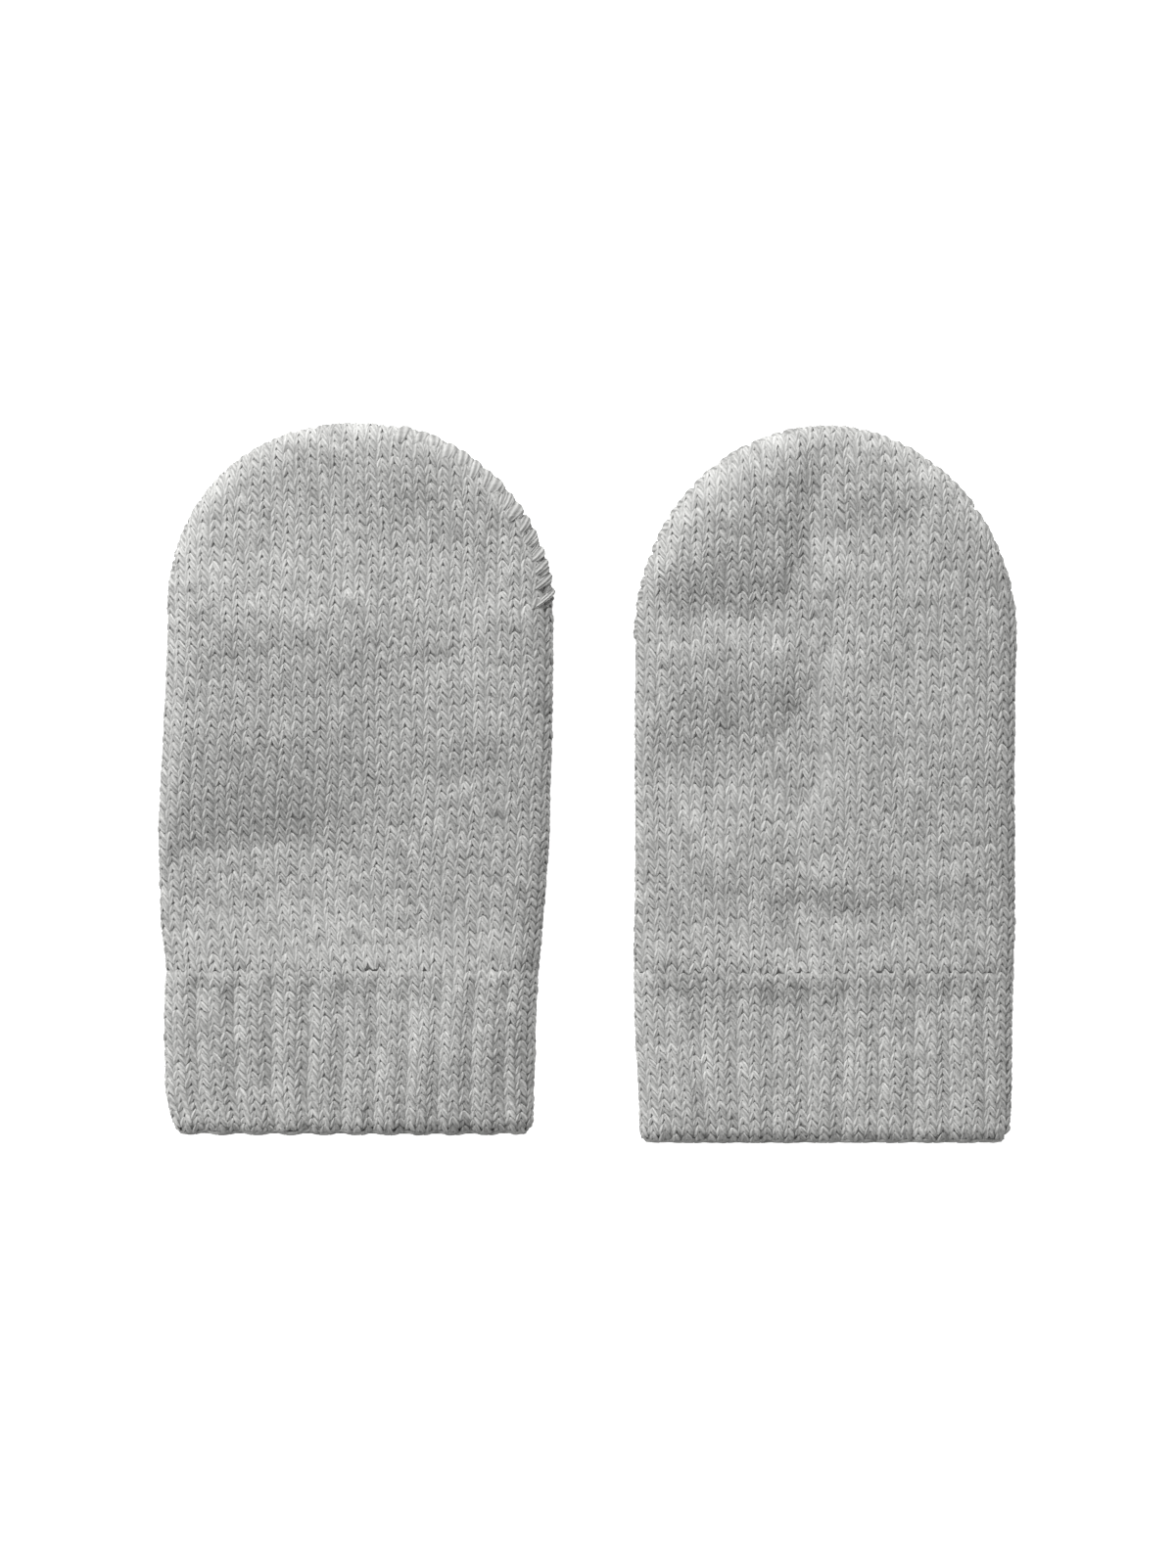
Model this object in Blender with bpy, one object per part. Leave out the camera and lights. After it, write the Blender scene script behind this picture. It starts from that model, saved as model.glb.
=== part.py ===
"""Pair of knitted baby mittens without thumbs, laid flat side by side.

Metres, +Z up. The mittens lie on z = 0, fingertips towards +Y and ribbed cuffs
towards -Y, and the origin is under the middle of the pair. Each mitten is a
front and a back of plain knitting, a front and a back of ribbed cuff, and the
stitched seam that closes the round tip. Front and back turn over into each other
at the sides. The two layers lie on each other and the mouth at the hem is open.
"""
import math
from collections import namedtuple

import bpy
import numpy as np

MM = 0.001

# Cloth
HAND_WALL = 2.0 * MM         # thickness of the plain knitting
CUFF_WALL = 1.7 * MM         # thickness of the rib knitting between its ribs
SEAM_GAP = 0.3 * MM          # air between two joined pieces
EDGE_REACH = 3.6 * MM        # width of the band in which the cloth turns over at the outline
EDGE_RIM = 0.18              # share of the wall that stands upright at the outline
HEM_REACH = 2.6 * MM         # the same two sizes at the hem
HEM_RIM = 0.42
HOLLOW = 1.5 * MM            # room between the layers in the middle of the hand
CUFF_HOLLOW = 1.1 * MM       # room between the layers above the mouth
HOLLOW_REACH = 10.0 * MM     # distance from the outline at which that room is full
FOLD_REACH = 4.5 * MM        # distance from the outline at which the folds are full

# Ribs and the line where they start
RIBS = 11                    # ribs across one face of a cuff
RIB_HEIGHT = 0.55 * MM
GROOVE_POWER = 6             # a higher power gives a narrower groove between ribs
JOIN_WIDTH = 2.0 * MM        # soft trough across the cloth where cuff and hand join

# Steps of the grids
EDGE_STEPS = (0.0, 0.3 * MM, 1.1 * MM, 2.2 * MM, EDGE_REACH)
HEM_STEPS = (0.0, 0.4 * MM, 1.3 * MM, HEM_REACH)
FRONT_STEP = 3.3 * MM
BACK_STEP = 7.0 * MM
CUFF_ROW_STEP = 6.0 * MM
SEAM_STEP = 3.2 * MM

Section = namedtuple("Section", "y left right")
Fold = namedtuple("Fold", "x y turn length width height")
SeamPoint = namedtuple("SeamPoint", "turn radius")
Mitten = namedtuple("Mitten", "name seam_from hem_y cuff_top_y tip_start_y tip_y tip_lean "
                              "squareness left_corner right_corner join_depth sections folds seam")

# Edges of the mitten from the hem to where the round tip starts, at each height y.
LEFT_SECTIONS = (
    Section(-0.0594, -0.0720, -0.0092),
    Section(-0.0483, -0.0722, -0.0089),
    Section(-0.0383, -0.0722, -0.0086),
    Section(-0.0316, -0.0719, -0.0082),
    Section(-0.0233, -0.0729, -0.0076),
    Section(-0.0083, -0.0732, -0.0063),
    Section(0.0068, -0.0724, -0.0060),
    Section(0.0284, -0.0716, -0.0058),
)
RIGHT_SECTIONS = (
    Section(-0.0609, 0.0087, 0.0718),
    Section(-0.0508, 0.0084, 0.0721),
    Section(-0.0408, 0.0079, 0.0723),
    Section(-0.0258, 0.0077, 0.0727),
    Section(-0.0058, 0.0080, 0.0728),
    Section(0.0168, 0.0079, 0.0728),
    Section(0.0245, 0.0080, 0.0730),
)

# Soft folds of the front: middle, turn of the long axis from +X in degrees, length,
# width, and height, which is negative for a trough.
LEFT_FOLDS = (
    Fold(-0.0570, 0.0280, -3.0, 0.048, 0.0095, 0.0019),
    Fold(-0.0590, 0.0095, 4.0, 0.044, 0.0110, 0.0015),
    Fold(-0.0590, -0.0120, 8.0, 0.046, 0.0085, -0.0016),
    Fold(-0.0550, -0.0205, 4.0, 0.050, 0.0055, -0.0005),
    Fold(-0.0260, 0.0010, 4.0, 0.030, 0.0030, -0.0003),
    Fold(-0.0420, -0.0320, 0.0, 0.068, 0.0042, 0.0007),
    Fold(-0.0480, -0.0400, 0.0, 0.050, 0.0080, 0.0006),
    Fold(-0.0230, 0.0400, -45.0, 0.024, 0.0070, -0.0010),
    Fold(-0.0230, -0.0450, 45.0, 0.036, 0.0110, 0.0014),
)
RIGHT_FOLDS = (
    Fold(0.0215, 0.0425, 46.0, 0.032, 0.0070, 0.0012),
    Fold(0.0200, 0.0290, -6.0, 0.028, 0.0060, -0.0012),
    Fold(0.0240, 0.0035, 10.0, 0.036, 0.0095, -0.0014),
    Fold(0.0375, 0.0430, 76.0, 0.028, 0.0034, -0.0010),
    Fold(0.0370, 0.0300, 95.0, 0.018, 0.0034, -0.0007),
    Fold(0.0395, 0.0180, 74.0, 0.028, 0.0036, -0.0010),
    Fold(0.0360, -0.0200, 90.0, 0.054, 0.0026, -0.0005),
    Fold(0.0390, -0.0165, -5.0, 0.014, 0.0034, 0.0003),
    Fold(0.0390, -0.0215, -5.0, 0.014, 0.0034, -0.0004),
    Fold(0.0530, -0.0170, 6.0, 0.028, 0.0028, 0.0002),
    Fold(0.0530, -0.0215, 6.0, 0.028, 0.0028, -0.0002),
    Fold(0.0490, 0.0430, -5.0, 0.018, 0.0050, -0.0008),
    Fold(0.0220, -0.0315, -2.0, 0.036, 0.0050, 0.0008),
    Fold(0.0180, -0.0560, 0.0, 0.034, 0.0120, 0.0009),
    Fold(0.0370, -0.0325, 0.0, 0.016, 0.0035, 0.0002),
    Fold(0.0500, -0.0325, 3.0, 0.040, 0.0035, 0.0003),
)

# Thickness of the seam on its way round the tip: turn from the side where it starts,
# in degrees, and radius. It is fullest over the shoulder near its start.
LEFT_SEAM = (
    SeamPoint(6.0, 0.35 * MM),
    SeamPoint(18.0, 1.05 * MM),
    SeamPoint(85.0, 1.00 * MM),
    SeamPoint(125.0, 0.60 * MM),
    SeamPoint(168.0, 0.40 * MM),
)
RIGHT_SEAM = (
    SeamPoint(6.0, 0.35 * MM),
    SeamPoint(28.0, 0.75 * MM),
    SeamPoint(120.0, 0.65 * MM),
    SeamPoint(168.0, 0.40 * MM),
)

MITTENS = (
    Mitten("left", 1, -0.0594, -0.0316, 0.0284, 0.0616, -0.9 * MM, 2.08,
           5.6 * MM, 2.4 * MM, 0.1 * MM, LEFT_SECTIONS, LEFT_FOLDS, LEFT_SEAM),
    Mitten("right", -1, -0.0609, -0.0320, 0.0245, 0.0609, 0.0, 2.00,
           2.2 * MM, 2.4 * MM, 0.1 * MM, RIGHT_SECTIONS, RIGHT_FOLDS, RIGHT_SEAM),
)

KNIT_GREY = (0.38, 0.38, 0.37, 1.0)
RIB_GREY = (0.39, 0.39, 0.38, 1.0)
SEAM_GREY = (0.43, 0.43, 0.42, 1.0)
YARN_ROUGHNESS = 0.95


def clear_scene():
    """Removes every object of the open scene."""
    for item in list(bpy.data.objects):
        bpy.data.objects.remove(item, do_unlink=True)


def yarn_material(name, colour):
    """Matt yarn of one colour."""
    material = bpy.data.materials.new(name)
    material.use_nodes = True
    shader = material.node_tree.nodes["Principled BSDF"]
    shader.inputs["Base Color"].default_value = colour
    shader.inputs["Roughness"].default_value = YARN_ROUGHNESS
    shader.inputs["Metallic"].default_value = 0.0
    material.diffuse_color = colour
    return material


def smooth(value):
    """Eases from 0 at 0 to 1 at 1, and stays there on either side."""
    t = np.clip(value, 0.0, 1.0)
    return t * t * (3.0 - 2.0 * t)


def turned_over(distance, reach, rim):
    """Share of the wall's full thickness at a distance from an edge: a quarter ellipse."""
    t = np.clip(distance / reach, 0.0, 1.0)
    return rim + (1.0 - rim) * np.sqrt(1.0 - (1.0 - t) ** 2)


def seam_radius(mitten, turn):
    """Radius of the seam at a turn round the tip, in degrees from where it starts."""
    turns = [point.turn for point in mitten.seam]
    radii = [point.radius for point in mitten.seam]
    return np.interp(turn, turns, radii)


def seam_room(mitten, turn):
    """Width that the seam and its gap take off the cloth's outline at that turn.

    It fades out at both sides of the mitten, where the cloth turns over with no seam.
    """
    first_turn = mitten.seam[0].turn
    last_turn = mitten.seam[-1].turn
    fade = smooth(turn / first_turn) * smooth((180.0 - turn) / (180.0 - last_turn))
    return (2.0 * seam_radius(mitten, turn) + SEAM_GAP) * fade


def edges_at(mitten, y):
    """Left and right edge of the mitten at each height y below the tip."""
    heights = [section.y for section in mitten.sections]
    left = np.interp(y, heights, [section.left for section in mitten.sections])
    right = np.interp(y, heights, [section.right for section in mitten.sections])
    return left, right


def corner_cut(height, radius):
    """How far a round hem corner comes in from the side, at a height over the hem."""
    drop = np.clip(radius - height, 0.0, radius)
    return radius - np.sqrt(radius ** 2 - drop ** 2)


def body_points(mitten, y, u):
    """Points of the straight part: rows at heights y, columns at u from -1 to 1.

    Returns x, y and the distance from the outline.
    """
    left, right = edges_at(mitten, y)
    over_hem = y - mitten.hem_y
    middle = 0.5 * (left + right)
    left_half = middle - left - corner_cut(over_hem, mitten.left_corner)
    right_half = right - middle - corner_cut(over_hem, mitten.right_corner)
    half = np.where(u[None, :] < 0.0, left_half[:, None], right_half[:, None])
    x = middle[:, None] + half * u[None, :]
    distance = (1.0 - np.abs(u[None, :])) * half
    return x, np.broadcast_to(y[:, None], x.shape), distance


def lean_at(mitten, y):
    """How far to the right the round tip leans at a height y."""
    length = mitten.tip_y - mitten.tip_start_y
    return mitten.tip_lean * smooth((y - mitten.tip_start_y) / length)


def tip_shape(mitten):
    """Middle, half-width and length of the round tip."""
    left, right = edges_at(mitten, mitten.tip_start_y)
    return 0.5 * (left + right), 0.5 * (right - left), mitten.tip_y - mitten.tip_start_y


def fullness(mitten, p, q):
    """Factor that draws a round disc of p and q out to the tip's superellipse.

    It is 1 over the length that the point's direction has by the superellipse's own rule.
    """
    direction = np.arctan2(q, p)
    power = mitten.squareness
    length = np.abs(np.cos(direction)) ** power + np.abs(np.sin(direction)) ** power
    return length ** (-1.0 / power)


def tip_points(mitten, v, u):
    """Points of the round tip: rows v from 0 at its start to 1, columns u from -1 to 1.

    The square of u and v is drawn to a half disc by u * sqrt(1 - v^2 / 2) and
    v * sqrt(1 - u^2 / 2), and the disc to the tip's own outline.
    """
    middle, half_width, length = tip_shape(mitten)
    p = u[None, :] * np.sqrt(1.0 - 0.5 * v[:, None] ** 2)
    q = v[:, None] * np.sqrt(1.0 - 0.5 * u[None, :] ** 2)
    distance = (1.0 - np.hypot(p, q)) * half_width
    turn = np.degrees(np.arctan2(q, p * mitten.seam_from))
    shrink = 1.0 - seam_room(mitten, turn) / half_width
    scale = fullness(mitten, p, q) * shrink
    y = mitten.tip_start_y + length * q * scale
    x = middle + lean_at(mitten, y) + half_width * p * scale
    return x, y, distance


def columns(half_width, step):
    """Columns from -1 to 1: close together where the cloth turns over, then even."""
    edge = [1.0 - distance / half_width for distance in EDGE_STEPS]
    count = max(2, round(2.0 * edge[-1] * half_width / step))
    inside = np.linspace(-edge[-1], edge[-1], count + 1)[1:-1]
    return np.concatenate([[-value for value in edge], inside, edge[::-1]])


def rib_columns(half_width):
    """Columns for a ribbed face: one in each groove, and three over each rib."""
    edge = [1.0 - distance / half_width for distance in EDGE_STEPS]
    in_rib = (0.0, 0.16, 0.5, 0.84)
    inside = [(rib + part) * 2.0 / RIBS - 1.0 for rib in range(RIBS) for part in in_rib]
    inside = [value for value in inside if abs(value) < edge[-1] - 0.01]
    return np.array([-value for value in edge] + inside + edge[::-1])


def hand_grid(mitten, step):
    """Grid over one face of the hand, from the cuff's top to the tip."""
    _, half_width, length = tip_shape(mitten)
    u = columns(half_width, step)
    start = mitten.cuff_top_y + 0.5 * SEAM_GAP
    near = [start, start + 1.2 * MM, start + 3.0 * MM]
    count = round((mitten.tip_start_y - near[-1]) / step)
    y = np.concatenate([near, np.linspace(near[-1], mitten.tip_start_y, count + 1)[1:-1]])
    edge = [1.0 - distance / length for distance in EDGE_STEPS]
    v = np.concatenate([np.linspace(0.0, edge[-1], round(length / step) + 1)[:-1], edge[::-1]])
    below = body_points(mitten, y, u)
    tip = tip_points(mitten, v, u)
    return [np.concatenate(pair) for pair in zip(below, tip)]


def cuff_grid(mitten, ribbed):
    """Grid over one face of the cuff, from the hem to its top."""
    _, half_width, _ = tip_shape(mitten)
    u = rib_columns(half_width) if ribbed else columns(half_width, BACK_STEP)
    low = [mitten.hem_y + step for step in HEM_STEPS]
    top = mitten.cuff_top_y - 0.5 * SEAM_GAP
    near = [top - 3.0 * MM, top - 1.2 * MM, top]
    count = max(1, round((near[0] - low[-1]) / CUFF_ROW_STEP))
    between = np.linspace(low[-1], near[0], count + 1)[1:-1]
    y = np.concatenate([low, between, near])
    x, y, distance = body_points(mitten, y, u)
    return x, y, distance, np.broadcast_to(u[None, :], x.shape)


def fold_height(mitten, x, y):
    """Sum of the folds: a bell curve across each one, fading out at both its ends."""
    height = np.zeros_like(x)
    for fold in mitten.folds:
        turn = math.radians(fold.turn)
        along = (x - fold.x) * math.cos(turn) + (y - fold.y) * math.sin(turn)
        across = (y - fold.y) * math.cos(turn) - (x - fold.x) * math.sin(turn)
        fade = np.exp(-(along / (0.5 * fold.length)) ** 4)
        height = height + fold.height * fade * np.exp(-(across / fold.width) ** 2)
    return height


def join_trough(mitten, y):
    """Soft trough on both sides of the line where the cuff and the hand join."""
    return -mitten.join_depth * np.exp(-((y - mitten.cuff_top_y) / JOIN_WIDTH) ** 2)


def layer_room(mitten, x, y, distance):
    """Height of the front layer's inner face over the back layer's inner face."""
    share = smooth((y - mitten.hem_y) / (mitten.tip_start_y - mitten.hem_y))
    hollow = CUFF_HOLLOW + (HOLLOW - CUFF_HOLLOW) * share
    swell = 1.0 - (1.0 - np.clip(distance / HOLLOW_REACH, 0.0, 1.0)) ** 3
    room = hollow * swell + fold_height(mitten, x, y) * smooth(distance / FOLD_REACH)
    closing = turned_over(y - mitten.hem_y, HEM_REACH, HEM_RIM)
    return SEAM_GAP + np.maximum(room, 0.0) * closing


def rib_relief(u):
    """Height share of the ribs across the cuff: 0 in a groove and 1 over a rib."""
    phase = (u + 1.0) * 0.5 * RIBS
    return 1.0 - np.cos(math.pi * phase) ** GROOVE_POWER


def wall(name, x, y, top, bottom, colour, collection):
    """Closed wall between a top and a bottom face that share one grid of x and y."""
    rows, width = x.shape
    count = rows * width
    points = np.concatenate([np.stack([x, y, top], -1).reshape(count, 3),
                             np.stack([x, y, bottom], -1).reshape(count, 3)])
    index = np.arange(count).reshape(rows, width)
    quads = np.stack([index[:-1, :-1], index[:-1, 1:], index[1:, 1:], index[1:, :-1]], -1)
    quads = quads.reshape(-1, 4)
    around = np.concatenate([index[0, :-1], index[:-1, -1], index[-1, :0:-1], index[:0:-1, 0]])
    following = np.roll(around, -1)
    rim = np.stack([around + count, following + count, following, around], -1)
    faces = np.concatenate([quads, quads[:, ::-1] + count, rim])
    mesh = bpy.data.meshes.new(name)
    mesh.from_pydata(points.tolist(), [], faces.tolist())
    mesh.shade_smooth()
    mesh.set_sharp_from_angle(angle=math.radians(50.0))
    piece = bpy.data.objects.new(name, mesh)
    mesh.materials.append(yarn_material(name + "_yarn", colour))
    collection.objects.link(piece)
    return piece


def hand_front(mitten, collection):
    """Upper layer of the hand, with the soft folds."""
    x, y, distance = hand_grid(mitten, FRONT_STEP)
    bottom = HAND_WALL + layer_room(mitten, x, y, distance)
    thickness = HAND_WALL * turned_over(distance, EDGE_REACH, EDGE_RIM)
    top = bottom + thickness + join_trough(mitten, y)
    return wall(mitten.name + "_hand_front", x, y, top, bottom, KNIT_GREY, collection)


def hand_back(mitten, collection):
    """Lower layer of the hand, flat where it rests."""
    x, y, distance = hand_grid(mitten, BACK_STEP)
    top = np.full_like(x, HAND_WALL)
    bottom = HAND_WALL * (1.0 - turned_over(distance, EDGE_REACH, EDGE_RIM))
    return wall(mitten.name + "_hand_back", x, y, top, bottom, KNIT_GREY, collection)


def cuff_front(mitten, collection):
    """Upper layer of the cuff, with ribs raised on its outer face."""
    x, y, distance, u = cuff_grid(mitten, ribbed=True)
    bottom = HAND_WALL + layer_room(mitten, x, y, distance)
    share = turned_over(distance, EDGE_REACH, EDGE_RIM)
    share = share * turned_over(y - mitten.hem_y, HEM_REACH, HEM_RIM)
    top = bottom + share * (CUFF_WALL + RIB_HEIGHT * rib_relief(u)) + join_trough(mitten, y)
    return wall(mitten.name + "_cuff_front", x, y, top, bottom, RIB_GREY, collection)


def cuff_back(mitten, collection):
    """Lower layer of the cuff, pressed flat where it rests."""
    x, y, distance, _ = cuff_grid(mitten, ribbed=False)
    top = np.full_like(x, HAND_WALL)
    share = turned_over(distance, EDGE_REACH, EDGE_RIM)
    share = share * turned_over(y - mitten.hem_y, HEM_REACH, HEM_RIM)
    bottom = HAND_WALL * (1.0 - share)
    return wall(mitten.name + "_cuff_back", x, y, top, bottom, RIB_GREY, collection)


def seam_path(mitten):
    """Middle line of the seam round the tip, with its radius.

    The seam's outer side lies on the mitten's outline.
    """
    middle, half_width, length = tip_shape(mitten)
    first_turn = mitten.seam[0].turn
    last_turn = mitten.seam[-1].turn
    count = round(math.radians(last_turn - first_turn) * half_width / SEAM_STEP)
    turn = np.linspace(first_turn, last_turn, count + 1)
    p = np.cos(np.radians(turn))
    q = np.sin(np.radians(turn))
    radius = seam_radius(mitten, turn)
    scale = fullness(mitten, p, q) * (1.0 - radius / half_width)
    y = mitten.tip_start_y + length * q * scale
    x = middle + lean_at(mitten, y) + mitten.seam_from * half_width * p * scale
    return x, y, radius


def seam(mitten, collection):
    """Stitched seam that closes the tip along the edges of both layers, as one rope."""
    x, y, radius = seam_path(mitten)
    curve = bpy.data.curves.new(mitten.name + "_seam", "CURVE")
    curve.dimensions = "3D"
    curve.bevel_depth = float(radius.max())
    curve.bevel_resolution = 2
    curve.use_fill_caps = True
    spline = curve.splines.new("POLY")
    spline.points.add(len(x) - 1)
    z = HAND_WALL + 0.5 * SEAM_GAP
    for point, px, py, size in zip(spline.points, x, y, radius):
        point.co = (px, py, z, 1.0)
        point.radius = size / radius.max()
    piece = bpy.data.objects.new(mitten.name + "_seam", curve)
    curve.materials.append(yarn_material(mitten.name + "_seam_yarn", SEAM_GREY))
    collection.objects.link(piece)
    return piece


def main():
    clear_scene()
    collection = bpy.data.collections.new("baby_mittens")
    bpy.context.scene.collection.children.link(collection)
    for mitten in MITTENS:
        hand_front(mitten, collection)
        hand_back(mitten, collection)
        cuff_front(mitten, collection)
        cuff_back(mitten, collection)
        seam(mitten, collection)


main()
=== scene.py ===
"""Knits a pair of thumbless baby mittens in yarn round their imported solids.

Each mitten is a thin tube of cloth with its stitches laid on it as short yarn legs,
two to a stitch. Stitches are worked out on a flat pattern, as if the cloth were rolled
out, and then laid on the mitten: the front bulges softly and has shallow folds, the
cloth turns over at the outline, and the back is flat where it rests.
"""
import math
from collections import namedtuple

import bpy
import numpy as np
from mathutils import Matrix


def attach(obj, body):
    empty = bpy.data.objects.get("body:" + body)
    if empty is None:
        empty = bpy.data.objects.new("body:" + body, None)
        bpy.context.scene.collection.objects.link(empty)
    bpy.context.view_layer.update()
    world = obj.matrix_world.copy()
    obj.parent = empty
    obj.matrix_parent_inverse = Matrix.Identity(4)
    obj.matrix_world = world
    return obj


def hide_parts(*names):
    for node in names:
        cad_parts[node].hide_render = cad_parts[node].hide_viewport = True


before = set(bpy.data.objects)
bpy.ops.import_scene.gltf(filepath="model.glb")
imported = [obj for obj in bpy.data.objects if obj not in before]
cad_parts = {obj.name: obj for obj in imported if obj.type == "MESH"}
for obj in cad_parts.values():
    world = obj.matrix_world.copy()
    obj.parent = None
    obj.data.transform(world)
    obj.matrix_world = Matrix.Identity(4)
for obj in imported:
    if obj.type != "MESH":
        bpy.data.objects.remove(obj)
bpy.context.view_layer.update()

bl_info = {
    "name": "Knitted baby mittens",
    "version": (1, 0, 0),
    "blender": (4, 5, 0),
    "location": "3D View > Sidebar > Mittens",
    "description": "Knits a pair of baby mittens in yarn and lights them on a pale floor",
    "category": "Add Mesh",
}

MM = 0.001
FRONT, BACK = 1, -1

# The cloth's shape, which follows the solids
PARTING = 2.15 * MM          # height of the line where front and back turn into each other
EDGE_REACH = 3.6 * MM        # width of the band in which the cloth turns over
HEM_REACH = 2.6 * MM
HEM_RIM = 0.42               # share of the height that is left at the hem
HOLLOW = 1.5 * MM
CUFF_HOLLOW = 1.1 * MM
HOLLOW_REACH = 10.0 * MM
FOLD_REACH = 4.5 * MM
JOIN_WIDTH = 2.0 * MM
RIBS = 11                    # ribs across one face of a cuff
RIB_FADE = 4.0 * MM          # length over which the ribs fade out at the cuff's top
HEM_ZONE = 4.0 * MM          # length over which the hem's waves and even rows fade out
RIPPLE = 0.22 * MM           # how far the rows and columns waver from straight lines

# The thin cloth under the stitches
CLOTH_DEPTH = 0.20 * MM      # depth of its outer face under the middle of the yarn
CREASE_INSET = 1.6 * MM      # distance in from the outline to the crease of its inner face
HALF_GAP = 0.15 * MM         # half of the least gap between the two layers

# How the stitches lie, and how much they differ from each other
ROW_HEIGHT = 1.37 * MM       # height of a row whose legs have their full length
LEG_PLACE = 0.235            # middle of a leg from the middle of its wale, in stitch widths
LEG_STRETCH = 2.3            # length of a leg's yarn over half of its own length
LENGTH_SPREAD = 0.08
LEAN_SPREAD = 0.14
RADIUS_SPREAD = 0.08
STRAY_RIGHT = 0.06 * MM
STRAY_UP = 0.10 * MM
STRAY_OUT = 0.06 * MM
COLUMN_WAVER = 0.05 * MM     # waver of a column from row to row
ROW_WAVER = 0.20 * MM        # waver of a row from stitch to stitch

# By how much a right leg is longer, thicker, higher up and further out, and a left leg less so
LONGER = 0.04
THICKER = 0.03
HIGHER = 0.06 * MM
FURTHER_OUT = 0.02 * MM

# The stage
FLOOR_HALF = 12.0
FLOOR_DEPTH = 0.1 * MM       # how far the floor lies under the mittens
KEY_DISTANCE = 1.5
KEY_SIZE = 1.1

# The yarn along the hem and over the tip's edge
HEM_YARN_Y = 0.25 * MM       # height of the hem's links over the hem
HEM_LINK_LENGTH = 2.4 * MM
WRAP_LENGTH = 6.0 * MM
WRAP_SINK = 0.7 * MM         # depth in the cloth to which the ends of a wrap go
WRAP_TURN = 60.0             # degrees round the tip at which the wraps lie straight

Section = namedtuple("Section", "y left right")
Fold = namedtuple("Fold", "x y turn length width height")
Pull = namedtuple("Pull", "x y reach right up")
# A wrap's tone darkens its row of strands by how the light falls on the rim: painted shade.
Wrap = namedtuple("Wrap", "first_turn last_turn pitch inside outside lean radius lift tone")
Mitten = namedtuple("Mitten", "name hem_y cuff_top_y tip_start_y tip_y tip_lean squareness "
                              "left_corner right_corner join_depth rib_depth hem_wave hand_rows row_growth "
                              "sections folds pulls seam_from wraps seed")

LEFT = Mitten(
    name="left", hem_y=-0.0594, cuff_top_y=-0.0316, tip_start_y=0.0284, tip_y=0.0615,
    tip_lean=-0.9 * MM, squareness=2.08, left_corner=2.4 * MM, right_corner=2.4 * MM,
    join_depth=0.1 * MM, rib_depth=0.62 * MM, hem_wave=0.45 * MM,
    hand_rows=68, row_growth=0.02,
    sections=(
        Section(-0.0594, -0.0705, -0.0092),
        Section(-0.0569, -0.0711, -0.0092),
        Section(-0.0549, -0.0716, -0.0091),
        Section(-0.0529, -0.0720, -0.0091),
        Section(-0.0509, -0.0722, -0.0090),
        Section(-0.0383, -0.0722, -0.0086),
        Section(-0.0316, -0.0719, -0.0082),
        Section(-0.0233, -0.0729, -0.0076),
        Section(-0.0083, -0.0732, -0.0063),
        Section(0.0068, -0.0724, -0.0060),
        Section(0.0284, -0.0716, -0.0058),
    ),
    folds=(
        Fold(-0.0570, 0.0285, -3.0, 0.048, 0.0095, 0.0018),
        Fold(-0.0590, 0.0110, 4.0, 0.044, 0.0125, 0.0015),
        Fold(-0.0590, -0.0140, 8.0, 0.046, 0.0085, -0.0016),
        Fold(-0.0550, -0.0215, 4.0, 0.050, 0.0050, -0.0003),
        Fold(-0.0260, 0.0010, 4.0, 0.030, 0.0030, -0.0003),
        Fold(-0.0420, -0.0320, 0.0, 0.068, 0.0042, 0.0007),
        Fold(-0.0480, -0.0400, 0.0, 0.050, 0.0080, 0.0006),
        Fold(-0.0230, 0.0400, -45.0, 0.024, 0.0070, -0.0010),
        Fold(-0.0220, -0.0455, 45.0, 0.036, 0.0110, 0.0017),
    ),
    pulls=(
        Pull(-0.0470, -0.0460, 0.020, 2.0 * MM, 0.0),
        Pull(-0.0640, 0.0420, 0.010, 0.0, -0.9 * MM),
        Pull(-0.0140, 0.0420, 0.009, 0.0, -0.7 * MM),
    ),
    seam_from=1,
    # The last number of each wrap is its tone, painted shade.
    wraps=(
        Wrap(6.0, 75.0, 2.60 * MM, 2.8 * MM, 2.4 * MM, 28.0, 0.90 * MM, 0.00 * MM, -0.6),
        Wrap(7.2, 76.0, 2.60 * MM, 3.4 * MM, 2.4 * MM, 32.0, 1.10 * MM, 0.12 * MM, -0.4),
        Wrap(8.7, 77.0, 2.60 * MM, 2.5 * MM, 2.4 * MM, 36.0, 0.85 * MM, -0.12 * MM, -1.2),
        Wrap(76.0, 178.0, 1.60 * MM, 1.4 * MM, 2.0 * MM, 30.0, 1.00 * MM, -0.30 * MM, -1.4),
    ),
    seed=11,
)
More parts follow.
